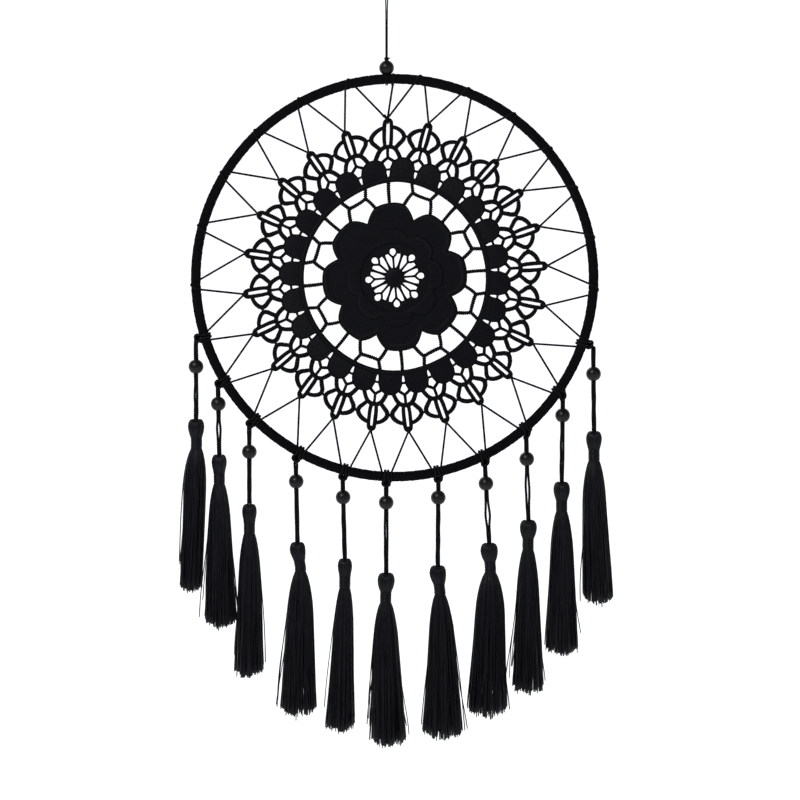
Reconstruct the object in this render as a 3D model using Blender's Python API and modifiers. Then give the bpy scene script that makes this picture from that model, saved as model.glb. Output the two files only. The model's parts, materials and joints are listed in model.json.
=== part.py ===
"""Dream catcher: a lace medallion laced into a wrapped hoop, hung from a loop, with eleven tassels.

Frame: the origin is where a nail bears on the hanging loop, +Z is up, and the front faces -Y.
Everything is in metres.
"""
import math

import bmesh
import bpy
from mathutils import Matrix, Vector

MM = 0.001
GAP = 0.3 * MM  # left between pieces that touch

# Hoop
HOOP_CENTRE = Vector((6.0, 0.0, -230.0)) * MM
HOOP_RADIUS = 146.7 * MM  # of the tube's centre line
HOOP_STEPS = 48
WRAP_RADIUS = 3.35 * MM  # outside of the suede cover
WIRE_RADIUS = 1.6 * MM
SEAM_HALF_ANGLE = 8.0  # degrees, of the cover's open seam on the hoop's inner side

# Web thread: half a turn round the hoop at each of these angles, and through a lace tip between
THREAD_RADIUS = 0.575 * MM
PLAIN_TURNS_RIGHT = (11.4, 26.3, 39.5, 53.7, 68.5, 82.6)
PLAIN_TURNS_LEFT = (103.1, 118.1, 133.4, 148.6, 165.0, 182.0)
LAST_PLAIN_TURN = 356.5
THREAD_START = 90.4  # degrees, where the thread is first laid on the hoop
TURN_RADIUS = 4.65 * MM  # of the thread's centre line round the tube
TURN_HALF_WIDTH = 1.5  # degrees between the middle of a turn and where it leaves the hoop
TIED_HALF_WIDTH = 1.35  # the same at a hitch, which sits between the thread's two legs
EYE_RADIUS = 107.6 * MM  # where the thread passes through a lace tip, before the lace is pulled
EYE_DEPTH = 1.9 * MM  # how far in front of and behind the lace it turns

# Lace medallion
LACE_THICKNESS = 1.6 * MM
LACE_TIPS = 24
LACE_PHASE = 4.5  # degrees, of the first tip
TIP_RADIUS = 112.3 * MM  # before the lace is pulled
PETALS = 8
OVERLAY_THICKNESS = 1.0 * MM

# Hanging loop, its knot and bead
LOOP_THREAD_RADIUS = 0.55 * MM
KNOT_HEIGHT = -67.0 * MM  # of the knot's centre
KNOT_RADIUS = 1.75 * MM
TOP_BEAD_HEIGHT = -73.8 * MM
TOP_BORE_RADIUS = 1.5 * MM
STEM_RADIUS = 0.95 * MM
TIE_RADIUS = 4.3 * MM  # of the loop that ties the hanger to the hoop

# Tassels, strings, beads and hitches
BEAD_RADIUS = 5.5 * MM
BORE_RADIUS = 2.1 * MM
STRAND_RADIUS = 0.8 * MM
STRAND_SPACING = 0.9 * MM  # from the string's middle to each of its two strands
HEAD_RADIUS = 5.5 * MM
NECK_RADIUS = 3.8 * MM
SKIRT_RADIUS = 6.6 * MM
TASSEL_LENGTH = 126.0 * MM
CUFF_INNER = 4.05 * MM
CUFF_OUTER = 5.3 * MM
CUFF_HALF_WIDTH = 2.1 * MM
NUB_RADIUS = 1.7 * MM  # the small eye of the hitch that the string comes out of
NUB_REACH = 5.8 * MM
NUB_LEAST_DROP = 1.4 * MM

# One row for each tassel, left to right. The angle is that of its hitch on the hoop, in degrees,
# and the rest is in mm from the hoop's centre: the string's x at its top and at the tassel's
# head, and how far below the centre the bead's centre and the head's top hang.
TASSELS = (
    (197.2, -146.6, -146.5, 65.6, 104.7),
    (211.1, -130.4, -129.4, 93.0, 130.9),
    (225.3, -107.3, -107.2, 128.4, 167.4),
    (241.4, -73.0, -71.7, 150.2, 195.5),
    (255.4, -38.4, -36.8, 161.9, 207.6),
    (267.6, -6.3, -6.3, 165.8, 218.2),
    (282.3, 32.2, 31.8, 162.1, 212.8),
    (296.3, 66.6, 69.7, 151.8, 196.2),
    (310.8, 97.0, 98.6, 133.7, 179.2),
    (325.2, 124.0, 123.2, 101.5, 151.0),
    (340.7, 146.5, 147.0, 70.9, 113.7),
)


def start_scene():
    """Empties the scene and returns the collections for the parts and for what cuts or joins them."""
    for obj in list(bpy.data.objects):
        bpy.data.objects.remove(obj, do_unlink=True)
    parts = bpy.data.collections.new("dream_catcher")
    tools = bpy.data.collections.new("joined_shapes")
    bpy.context.scene.collection.children.link(parts)
    bpy.context.scene.collection.children.link(tools)
    return parts, tools


PARTS, TOOLS = start_scene()


def material(name, colour, roughness, metallic=0.0):
    made = bpy.data.materials.new(name)
    made.use_nodes = True
    shader = made.node_tree.nodes["Principled BSDF"]
    shader.inputs["Base Color"].default_value = (*colour, 1.0)
    shader.inputs["Roughness"].default_value = roughness
    shader.inputs["Metallic"].default_value = metallic
    return made


SUEDE = material("black_suede", (0.012, 0.012, 0.013), 0.95)
STEEL = material("wire", (0.45, 0.45, 0.46), 0.35, 1.0)
THREAD = material("waxed_thread", (0.010, 0.010, 0.012), 0.6)
LACE = material("lace_cotton", (0.014, 0.014, 0.015), 0.85)
CORD = material("twisted_cord", (0.010, 0.010, 0.011), 0.7)
BEAD = material("black_wood", (0.020, 0.020, 0.021), 0.45)
SILK = material("tassel_silk", (0.010, 0.011, 0.014), 0.5)


def polar(radius, degrees, y=0.0):
    """A point in the hoop's plane, or y behind it, from the hoop's centre."""
    angle = math.radians(degrees)
    return Vector((radius * math.cos(angle), y, radius * math.sin(angle)))


def tube_middle(degrees):
    """The middle of the hoop's tube, which is made of straight facets, from the hoop's centre."""
    step = 360.0 / HOOP_STEPS
    off = math.radians(degrees % step - step / 2)
    return polar(HOOP_RADIUS * math.cos(math.radians(step / 2)) / math.cos(off), degrees)


def anchor(name, at, parent=None):
    """An empty that stands on a joint's axis, unrotated, and carries what turns with it."""
    empty = bpy.data.objects.new(name, None)
    empty.empty_display_size = 5 * MM
    PARTS.objects.link(empty)
    attach(empty, at, parent)
    return empty


def attach(obj, at, parent):
    """Puts an object at a world position under an unrotated parent."""
    obj["world_place"] = tuple(at)
    obj.parent = parent
    obj.location = Vector(at) - (Vector(parent["world_place"]) if parent else Vector())


def mesh_object(name, mesh, finish, collection=PARTS):
    obj = bpy.data.objects.new(name, mesh)
    obj.data.materials.clear()
    obj.data.materials.append(finish)
    collection.objects.link(obj)
    if collection is TOOLS:
        obj.hide_render = True
        obj.display_type = "WIRE"
    return obj


def profile_mesh(name, profile, closed):
    """A profile of (radius, height) points, joined by edges, in the XZ plane at +X."""
    count = len(profile)
    edges = [(i, i + 1) for i in range(count - 1)] + ([(count - 1, 0)] if closed else [])
    mesh = bpy.data.meshes.new(name)
    mesh.from_pydata([(radius, 0.0, height) for radius, height in profile], edges, [])
    return mesh


def spin(obj, steps):
    """Turns a profile about the object's own Z axis."""
    turn = obj.modifiers.new("turn", "SCREW")
    turn.steps = steps
    turn.render_steps = steps
    turn.use_merge_vertices = True
    turn.merge_threshold = 0.001 * MM
    turn.use_smooth_shade = True


def ball_mesh(name, radius, segments, rings, matrix=Matrix()):
    bm = bmesh.new()
    bmesh.ops.create_uvsphere(bm, u_segments=segments, v_segments=rings, radius=radius, matrix=matrix)
    mesh = bpy.data.meshes.new(name)
    bm.to_mesh(mesh)
    bm.free()
    mesh.shade_smooth()
    return mesh


def tube(name, points, radius, bevel_resolution, finish, closed=False, collection=PARTS):
    """A round cord along hand-set points."""
    curve = bpy.data.curves.new(name, "CURVE")
    curve.dimensions = "3D"
    curve.bevel_depth = radius
    curve.bevel_resolution = bevel_resolution
    curve.use_fill_caps = not closed
    line = curve.splines.new("POLY")
    line.points.add(len(points) - 1)
    for place, point in zip(line.points, points):
        place.co = (*point, 1.0)
    line.use_cyclic_u = closed
    curve.materials.append(finish)
    obj = bpy.data.objects.new(name, curve)
    collection.objects.link(obj)
    return obj


def flat_shape(name, outlines, thickness, finish):
    """A flat piece in the hoop's plane. The first outline is its edge and the rest are its holes."""
    curve = bpy.data.curves.new(name, "CURVE")
    curve.dimensions = "2D"
    curve.fill_mode = "BOTH"
    curve.extrude = thickness / 2
    for outline in outlines:
        line = curve.splines.new("POLY")
        line.points.add(len(outline) - 1)
        for place, point in zip(line.points, outline):
            place.co = (point.x, point.z, 0.0, 1.0)
        line.use_cyclic_u = True
    curve.materials.append(finish)
    obj = bpy.data.objects.new(name, curve)
    obj.rotation_euler = (math.pi / 2, 0.0, 0.0)
    PARTS.objects.link(obj)
    return obj


def join(obj, other):
    union = obj.modifiers.new("join_" + other.name, "BOOLEAN")
    union.operation = "UNION"
    union.solver = "EXACT"
    union.object = other


# --- hoop -----------------------------------------------------------------------------------


def add_hoop(parent):
    """The wire ring, and the cover round it, which is open along a seam on the inner side."""
    wire = [
        (
            HOOP_RADIUS + WIRE_RADIUS * math.cos(math.radians(angle)),
            WIRE_RADIUS * math.sin(math.radians(angle)),
        )
        for angle in range(0, -360, -72)
    ]
    sides = 7
    sweep = 360.0 - 2 * SEAM_HALF_ANGLE
    turns = [180.0 - SEAM_HALF_ANGLE - i * sweep / (sides - 1) for i in range(sides)]
    lining = (WIRE_RADIUS + GAP) / math.cos(math.radians(sweep / (sides - 1) / 2))
    cover = [
        (
            HOOP_RADIUS + radius * math.cos(math.radians(angle)),
            radius * math.sin(math.radians(angle)),
        )
        for radius, angles in ((WRAP_RADIUS, turns), (lining, turns[::-1]))
        for angle in angles
    ]
    for name, profile, finish in (("hoop_ring", wire, STEEL), ("hoop_wrap", cover, SUEDE)):
        ring = mesh_object(name, profile_mesh(name, profile, closed=True), finish)
        spin(ring, HOOP_STEPS)
        ring.rotation_euler = (math.pi / 2, 0.0, 0.0)
        attach(ring, HOOP_CENTRE, parent)


# --- lace medallion -------------------------------------------------------------------------


def bump(degrees, middle, width):
    """1 at an angle called middle, falling to nothing round it."""
    return math.exp(-(((degrees % 360 - middle) / width) ** 2))


def stretched(radius, degrees):
    """The web pulls the lace unevenly round the hoop, by up to 2.4 degrees at its tips."""
    left = 2.4 * bump(degrees, 205, 40) + 1.3 * bump(degrees, 255, 22)
    top = -2.4 * bump(degrees, 88, 19) - 0.7 * bump(degrees, 52, 20)
    return degrees + (left + top) * (radius / TIP_RADIUS) ** 2


def pulled(radius, degrees):
    """The web pulls the lace unevenly outwards too, most at the top and at the tips there."""
    body = 3.0 * bump(degrees, 90, 20) + 1.6 * bump(degrees, 62, 26) + 1.3 * bump(degrees, 266, 28)
    tips = 1.0 + 1.3 * bump(degrees, 58, 35) + 1.2 * bump(degrees, 92, 8)
    tips -= 1.1 * bump(degrees, 150, 45)
    on_body = min(1.0, max(0.0, (radius / MM - 41.0) / 20.0))
    on_tips = max(0.0, (radius / MM - 88.0) / 24.0)
    return radius + (body * on_body + tips * on_tips) * MM


def lace_ray(radius, degrees):
    """A point of the lace, given where it would lie if nothing pulled the lace."""
    turned = stretched(radius, degrees)
    return polar(pulled(radius, turned), turned)


def lace_point(radius, offset, middle):
    """A point of the lace, offset sideways in mm from a ray at the angle called middle."""
    return lace_ray(radius * MM, middle + math.degrees(offset / radius))


def mirrored(half):
    """Both sides of an outline, from the points of its one side as (radius, offset) in mm."""
    other = [(radius, -offset) for radius, offset in reversed(half) if offset]
    return list(half) + other


# Outlines of one of the 24 repeats, as (radius, sideways offset) in mm.
EDGE = [
    (101.0, -13.3),
    (103.2, -11.2),
    (105.8, -8.2),
    (107.2, -4.0),
    (110.6, -2.9),
    (TIP_RADIUS / MM, -1.3),
]
TIP_EYE = mirrored([(110.2, 0.8), (95.6, 1.3)])
WING_HOLE = [(104.2, 3.8), (103.4, 6.0), (100.2, 9.2), (97.0, 8.4), (95.0, 4.0)]
GAP_BETWEEN_WINGS = mirrored([(98.8, 0.6), (92.6, 4.1), (86.4, 2.2)])
UNDER_ARCH = [(91.0, 0.9), (90.2, 3.6), (86.2, 6.6), (84.6, 4.6), (86.4, 0.9)]
DROP = mirrored([(83.8, 0.0), (81.6, 2.4), (77.9, 1.1)])
SMALL_HOLE = mirrored([(75.4, 0.9), (72.4, 0.8)])
# Outlines of one of the 8 parts of the net and the flower, as (radius, degrees from the middle).
NET_BESIDE_PETAL = [
    (67.2, 0.9),
    (67.4, 7.0),
    (67.2, 13.2),
    (61.0, 15.3),
    (53.4, 11.0),
    (54.2, 6.0),
    (53.9, 0.9),
]
NET_OVER_VALLEY = [(67.2, 7.6), (61.8, 5.6), (61.8, -5.6), (67.2, -7.6)]
VALLEY = mirrored([(59.6, 5.5), (52.6, 10.0), (48.0, 5.0), (44.2, 0.0)])
LEAF_HOLE = [(7.6, 0.0), (13.0, -6.5), (18.0, 0.0), (13.0, 6.5)]
ROUND_HOLE_AT = 19.6 * MM
ROUND_HOLE_RADIUS = 2.9 * MM


def flipped(outline):
    return [(radius, -offset) for radius, offset in outline]


def add_lace(parent):
    """The lace: 24 looped tips over 24 shells, a net of bars, and a flower of 8 petals."""
    edge = []
    holes = []
    for tip in range(LACE_TIPS):
        middle = LACE_PHASE + tip * 360.0 / LACE_TIPS
        between = middle + 180.0 / LACE_TIPS
        other_side = [(radius, -offset) for radius, offset in reversed(EDGE[1:])]
        edge += [lace_point(radius, offset, middle) for radius, offset in EDGE + other_side]
        cells = [(TIP_EYE, middle), (DROP, middle), (SMALL_HOLE, middle), (GAP_BETWEEN_WINGS, between)]
        for cell in (WING_HOLE, UNDER_ARCH):
            cells += [(cell, middle), (flipped(cell), middle)]
        holes += [[lace_point(r, offset, ray) for r, offset in cell] for cell, ray in cells]
    for petal in range(PETALS):
        middle = LACE_PHASE + petal * 360.0 / PETALS
        valley = middle + 180.0 / PETALS
        cells = [(NET_BESIDE_PETAL, middle), (flipped(NET_BESIDE_PETAL), middle)]
        cells += [(NET_OVER_VALLEY, valley), (VALLEY, valley)]
        cells += [(LEAF_HOLE, middle + 12.0), (LEAF_HOLE, valley + 12.0)]
        holes += [[lace_ray(r * MM, ray + off) for r, off in cell] for cell, ray in cells]
        hole_middle = polar(ROUND_HOLE_AT, middle)
        holes.append([hole_middle + polar(ROUND_HOLE_RADIUS, side * 60.0) for side in range(6)])
    lace = flat_shape("lace_medallion", [edge] + holes, LACE_THICKNESS, LACE)
    attach(lace, HOOP_CENTRE, parent)


def add_overlay(parent):
    """A smaller ring of petals sewn on the front of the flower."""
    outline = []
    for petal in range(PETALS):
        middle = LACE_PHASE + petal * 360.0 / PETALS
        for radius, off in ((31.0, -22.5), (34.0, -16.0), (35.5, -7.0), (35.5, 7.0), (34.0, 16.0)):
            outline.append(polar(radius * MM, middle + off))
    centre_hole = [polar(26.0 * MM, side * 15.0) for side in range(24)]
    overlay = flat_shape("flower_overlay", [outline, centre_hole], OVERLAY_THICKNESS, LACE)
    depth = LACE_THICKNESS / 2 + GAP + OVERLAY_THICKNESS / 2
    attach(overlay, HOOP_CENTRE - Vector((0.0, depth, 0.0)), parent)


# --- web thread -----------------------------------------------------------------------------


def round_tube(middle, turn, sideways, radius):
    """A point round the hoop's tube. Turn 0 is its inner side, 90 the back, 270 the front."""
    degrees = middle + sideways
    out = -radius * math.cos(math.radians(turn))
    return tube_middle(degrees) + polar(out, degrees, radius * math.sin(math.radians(turn)))


def plain_turn(middle):
    """Half a turn round the hoop, from the back to the front, that slants along it."""
    turns = (50, 93, 136, 180, 224, 267, 310)
    slant = [TURN_HALF_WIDTH * (turn - 180) / 130 for turn in turns]
    return [round_tube(middle, turn, side, TURN_RADIUS) for turn, side in zip(turns, slant)]


def turn_over_hitch(middle):
    """The same half turn where a hitch sits on the hoop: it crosses the hitch at the back."""
    over = CUFF_OUTER + GAP + THREAD_RADIUS
    steps = (
        (50, -1.0, 5.0 * MM),
        (74, -0.97, over + 0.4 * MM),
        (110, 0.0, over + 0.6 * MM),
        (146, 0.97, over + 0.4 * MM),
        (182, 1.0, 5.0 * MM),
        (224, 1.0, TURN_RADIUS),
        (267, 1.0, TURN_RADIUS),
        (310, 1.0, TURN_RADIUS),
    )
    return [round_tube(middle, turn, side * TIED_HALF_WIDTH, r) for turn, side, r in steps]


def tip_angle(after):
    """The angle of the first lace tip past a turn, going round anticlockwise."""
    spacing = 360.0 / LACE_TIPS
    tip = LACE_PHASE + spacing * math.ceil((after - LACE_PHASE) / spacing)
    return stretched(EYE_RADIUS, tip)


def add_web(parent):
    """One thread, laced anticlockwise round the hoop from its top until it is back there."""
    tied = [row[0] for row in TASSELS]
    order = [*PLAIN_TURNS_LEFT, *tied, LAST_PLAIN_TURN, *PLAIN_TURNS_RIGHT]
    points = [round_tube(THREAD_START, turn, 0.0, TURN_RADIUS) for turn in (225, 267, 310)]
    last = THREAD_START
    for middle in order:
        eye = tip_angle(last)
        reach = pulled(EYE_RADIUS, eye)
        points += [polar(reach, eye, -EYE_DEPTH), polar(reach, eye, EYE_DEPTH)]
        points += turn_over_hitch(middle) if middle in tied else plain_turn(middle)
        last = middle
    first_tip = tip_angle(last)
    beside_start = pulled(TIP_RADIUS, first_tip) + 1.5 * MM
    points.append(polar(beside_start, first_tip - 1.0, -2.8 * MM))
    web = tube("web_cord", points, THREAD_RADIUS, 1, THREAD)
    attach(web, HOOP_CENTRE, parent)


# --- hanging loop ---------------------------------------------------------------------------


def add_hanging_loop():
    """A doubled thread from the knot up over the nail and back down."""
    half = (
        (0.62, KNOT_HEIGHT / MM + 2.05),
        (0.62, -52.0),
        (0.62, -40.0),
        (0.70, -30.0),
        (0.95, -21.0),
        (1.40, -13.0),
        (1.95, -6.0),
        (2.20, -2.2),
        (1.85, -0.45),
        (1.05, 0.35),
    )
    up = [Vector((-x, 0.0, z)) * MM for x, z in half]
    down = [Vector((x, 0.0, z)) * MM for x, z in reversed(half)]
    apex = Vector((0.0, 0.0, LOOP_THREAD_RADIUS))
    tube("hanger_cord", up + [apex] + down, LOOP_THREAD_RADIUS, 2, THREAD)


def add_knot(parent):
    """The knot over the top bead, its stem through the bead, and its tie round the hoop."""
    tie_angle = 90.0 + math.degrees(math.asin(HOOP_CENTRE.x / HOOP_RADIUS))
    tube_top = HOOP_CENTRE + tube_middle(tie_angle)
    tie_points = [
        Vector((0.0, TIE_RADIUS * math.sin(turn), TIE_RADIUS * math.cos(turn)))
        for turn in [math.radians(40.0 * i) for i in range(9)]
    ]
    tie = tube("tie_curve", tie_points, LOOP_THREAD_RADIUS - 0.05 * MM, 2, THREAD, closed=True)
    tie.location = (0.0, 0.0, tube_top.z)
    bpy.context.view_layer.update()
    solid = bpy.data.meshes.new_from_object(tie.evaluated_get(bpy.context.evaluated_depsgraph_get()))
    tie_solid = mesh_object("tie_round_hoop", solid, THREAD, TOOLS)
    tie_solid.matrix_world = tie.matrix_world
    bpy.data.objects.remove(tie, do_unlink=True)
    knot = mesh_object("knot_ball", ball_mesh("knot_ball", KNOT_RADIUS, 10, 8), THREAD, TOOLS)
    knot.location = (0.0, 0.0, KNOT_HEIGHT)
    low = tube_top.z + TIE_RADIUS
    stem_mesh = bpy.data.meshes.new("hanger_knot")
    bm = bmesh.new()
    bmesh.ops.create_cone(
        bm,
        cap_ends=True,
        segments=10,
        radius1=STEM_RADIUS,
        radius2=STEM_RADIUS,
        depth=KNOT_HEIGHT - low,
    )
    bm.to_mesh(stem_mesh)
    bm.free()
    stem = mesh_object("hanger_knot", stem_mesh, THREAD)
    attach(stem, (0.0, 0.0, (KNOT_HEIGHT + low) / 2), parent)
    join(stem, knot)
    join(stem, tie_solid)


def bead_mesh(name, bore):
    """A round bead with a straight bore, as a profile to be turned."""
    edge = math.degrees(math.acos(bore / BEAD_RADIUS))
    points = 6
    turns = [math.radians(edge - 2 * edge * i / (points - 1)) for i in range(points)]
    profile = [(BEAD_RADIUS * math.cos(turn), BEAD_RADIUS * math.sin(turn)) for turn in turns]
    return profile_mesh(name, profile, closed=True)


def add_bead(name, mesh, at, parent, tilt=0.0):
    bead = mesh_object(name, mesh, BEAD)
    spin(bead, 12)
    bead.rotation_euler = (0.0, tilt, 0.0)
    attach(bead, at, parent)


# --- tassels --------------------------------------------------------------------------------


def nub_offset(middle, string_x):
    """From the tube's middle to the hitch's small eye, which is where the string hangs from."""
    sideways = string_x - middle.x
    drop = math.sqrt(max(NUB_REACH**2 - sideways**2, NUB_LEAST_DROP**2))
    return Vector((sideways, 0.0, -drop))


def add_hitch(name, tie_angle, string_x, parent):
    """The string's hitch, as a cuff round the hoop with a small eye, and the string's top."""
    middle = tube_middle(tie_angle)
    cuff = mesh_object(
        name,
        profile_mesh(
            name,
            [
                (CUFF_OUTER, CUFF_HALF_WIDTH - 0.5 * MM),
                (CUFF_OUTER, -CUFF_HALF_WIDTH + 0.5 * MM),
                (CUFF_INNER, -CUFF_HALF_WIDTH),
                (CUFF_INNER, CUFF_HALF_WIDTH),
            ],
            closed=True,
        ),
        CORD,
    )
    spin(cuff, 12)
    cuff.rotation_euler = (0.0, -math.radians(tie_angle), 0.0)
    attach(cuff, HOOP_CENTRE + middle, parent)
    offset = nub_offset(middle, string_x)
    inner_end = CUFF_INNER + 0.15 * MM
    outer_end = offset.length + NUB_RADIUS
    along = offset.normalized()
    lengthen = Matrix.Scale((outer_end - inner_end) / (2 * NUB_RADIUS), 4, along)
    nub = mesh_object(
        name + "_eye", ball_mesh(name + "_eye", NUB_RADIUS, 8, 6, lengthen), CORD, TOOLS
    )
    nub.location = HOOP_CENTRE + middle + along * (outer_end + inner_end) / 2
    join(cuff, nub)
    return HOOP_CENTRE + middle + offset - Vector((0.0, 0.0, NUB_RADIUS + GAP + 0.05 * MM))


def tassel_mesh():
    """A round head, a bound neck and a skirt, turned about the middle of the head."""
    drop = HEAD_RADIUS
    dome = [
        (HEAD_RADIUS * math.sin(turn), HEAD_RADIUS * math.cos(turn))
        for turn in [math.radians(angle) for angle in (0, 32, 62, 90)]
    ]
    below = [
        (HEAD_RADIUS * 0.96, drop - 9.5 * MM),
        (NECK_RADIUS, drop - 13.5 * MM),
        (NECK_RADIUS, drop - 21.0 * MM),
        (SKIRT_RADIUS * 0.9, drop - 47.0 * MM),
        (SKIRT_RADIUS, drop - TASSEL_LENGTH),
        (0.0, drop - TASSEL_LENGTH),
    ]
    return profile_mesh("tassel", dome + below, closed=False)


def add_tassels(parent):
    shared_bead = bead_mesh("bead", BORE_RADIUS)
    shared_tassel = tassel_mesh()
    for number, (tie_angle, top_x, head_x, bead_drop, head_drop) in enumerate(TASSELS, start=1):
        label = f"{number:02d}"
        top = add_hitch("hitch_" + label, tie_angle, top_x * MM, parent)
        head = HOOP_CENTRE + Vector((head_x, 0.0, -head_drop)) * MM
        lean = math.atan2(top.x - head.x, top.z - head.z)
        along = Vector((math.sin(lean), 0.0, math.cos(lean)))
        across = Vector((math.cos(lean), 0.0, -math.sin(lean)))
        arch = STRAND_SPACING + STRAND_RADIUS
        start = top - along * arch
        pivot = start + along * STRAND_SPACING / 2
        foot = (head - start).length - GAP
        loop = [
            across * STRAND_SPACING * math.cos(turn) + along * STRAND_SPACING * math.sin(turn)
            for turn in [math.radians(45.0 * i) for i in range(5)]
        ]
        right = [across * STRAND_SPACING - along * foot, across * STRAND_SPACING - along * foot / 2]
        left = [-across * STRAND_SPACING - along * foot / 2, -across * STRAND_SPACING - along * foot]
        shift = start - pivot
        route = [point + shift for point in right + loop + left]
        string = tube("string_" + label, route, STRAND_RADIUS, 2, CORD)
        attach(string, pivot, parent)
        bead_drop_from_top = (HOOP_CENTRE.z - bead_drop * MM - top.z) / along.z
        bead_at = top + along * bead_drop_from_top
        add_bead("bead_" + label, shared_bead, bead_at, string, lean)
        tassel = mesh_object("tassel_" + label, shared_tassel, SILK)
        spin(tassel, 10)
        attach(tassel, head - Vector((0.0, 0.0, HEAD_RADIUS)), string)


def build():
    knot_axis = anchor("loop_twist_axis", (0.0, 0.0, KNOT_HEIGHT))
    tie_angle = 90.0 + math.degrees(math.asin(HOOP_CENTRE.x / HOOP_RADIUS))
    tilt_axis = anchor("hoop_tilt_axis", HOOP_CENTRE + tube_middle(tie_angle), knot_axis)
    add_hanging_loop()
    add_knot(knot_axis)
    top_bead = bead_mesh("top_bead", TOP_BORE_RADIUS)
    add_bead("hanger_bead", top_bead, (0.0, 0.0, TOP_BEAD_HEIGHT), knot_axis)
    add_hoop(tilt_axis)
    add_lace(tilt_axis)
    add_overlay(tilt_axis)
    add_web(tilt_axis)
    add_tassels(tilt_axis)


build()
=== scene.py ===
"""The looks of the black dream catcher: suede hoop, laced web, lace medallion, beads and tassels."""
import json
import math

import bpy
import numpy as np
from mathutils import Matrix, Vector


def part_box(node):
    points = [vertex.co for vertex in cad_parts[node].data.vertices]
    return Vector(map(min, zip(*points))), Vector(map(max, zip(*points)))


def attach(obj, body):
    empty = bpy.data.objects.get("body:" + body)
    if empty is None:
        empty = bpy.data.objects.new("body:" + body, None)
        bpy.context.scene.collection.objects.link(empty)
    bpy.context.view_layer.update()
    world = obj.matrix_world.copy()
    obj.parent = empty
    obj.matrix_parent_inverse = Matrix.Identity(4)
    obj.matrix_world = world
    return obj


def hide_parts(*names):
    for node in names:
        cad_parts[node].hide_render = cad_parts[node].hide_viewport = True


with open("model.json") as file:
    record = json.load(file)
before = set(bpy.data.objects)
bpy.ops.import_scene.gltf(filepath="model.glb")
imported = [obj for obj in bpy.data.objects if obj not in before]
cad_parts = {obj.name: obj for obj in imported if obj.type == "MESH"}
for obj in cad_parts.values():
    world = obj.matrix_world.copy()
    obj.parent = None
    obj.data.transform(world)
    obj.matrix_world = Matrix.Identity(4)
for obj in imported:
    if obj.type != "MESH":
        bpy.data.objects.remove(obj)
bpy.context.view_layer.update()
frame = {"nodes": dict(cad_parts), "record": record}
MM = 0.001
TAU = 2 * math.pi

# --- measures taken from the frame ------------------------------------------------------------
JOINTS = {j["name"]: j for j in frame["record"]["behaviour"]["joints"]}
hoop_low, hoop_high = (np.array(corner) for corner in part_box("hoop_wrap"))
CENTRE = (hoop_low + hoop_high) / 2
CAD_TUBE_RADIUS = 3.35 * MM
HOOP_RADIUS = (hoop_high[0] - hoop_low[0]) / 2 - CAD_TUBE_RADIUS
TUBE_RADIUS = CAD_TUBE_RADIUS + 0.2 * MM  # the suede's laps stand a little proud of the sleeve
LABELS = [f"{number:02d}" for number in range(1, 12)]

# The web's turns round the hoop and the lace's repeats, in degrees, as the CAD model has them.
TURNS_LEFT = (103.1, 118.1, 133.4, 148.6, 165.0, 182.0)
HITCH_ANGLES = (197.2, 211.1, 225.3, 241.4, 255.4, 267.6, 282.3, 296.3, 310.8, 325.2, 340.7)
TURNS_RIGHT = (356.5, 11.4, 26.3, 39.5, 53.7, 68.5, 82.6)
THREAD_START = 90.4
THREAD_RADIUS = 0.84 * MM
LACE_PHASE = 4.5
TIPS = 24
PETALS = 8
TIP_SPACING = 360.0 / TIPS
PETAL_SPACING = 360.0 / PETALS
TIP_RADIUS = 112.3 * MM
EYE_RADIUS = 107.6 * MM
STEP = 0.24 * MM  # between the points of a lace cord's route


# --- camera, light and stage ------------------------------------------------------------------
LENS = 73.2
EYE_DISTANCE = 1.2
EYE_RIGHT, EYE_DOWN = 3.9 * MM, 90.2 * MM  # from the hoop's centre
STUDIO_WHITE = (0.97, 0.98, 1.0, 1.0)
SKY_LIGHT, SKY_SEEN = 0.10, 0.93
PAPER_GLOW = 0.95
FLOOR_Z, WALL_Y, WALL_TOP, SWEEP_BEND = -1.6, 2.6, 4.0, 0.8


def add_camera():
    camera = bpy.data.cameras.new("camera")
    camera.lens = LENS
    camera.sensor_width = 36.0
    camera.clip_end = 20.0
    eye = bpy.data.objects.new("camera", camera)
    eye.location = (CENTRE[0] + EYE_RIGHT, -EYE_DISTANCE, CENTRE[2] - EYE_DOWN)
    eye.rotation_euler = (math.pi / 2, 0.0, 0.0)
    bpy.context.scene.collection.objects.link(eye)
    bpy.context.scene.camera = eye


def add_area(name, place, target, size, watts):
    light = bpy.data.lights.new(name, "AREA")
    light.shape = "DISK"
    light.size = size
    light.energy = watts
    lamp = bpy.data.objects.new(name, light)
    lamp.location = place
    lamp.rotation_euler = (Vector(target) - Vector(place)).to_track_quat("-Z", "Y").to_euler()
    bpy.context.scene.collection.objects.link(lamp)


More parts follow.
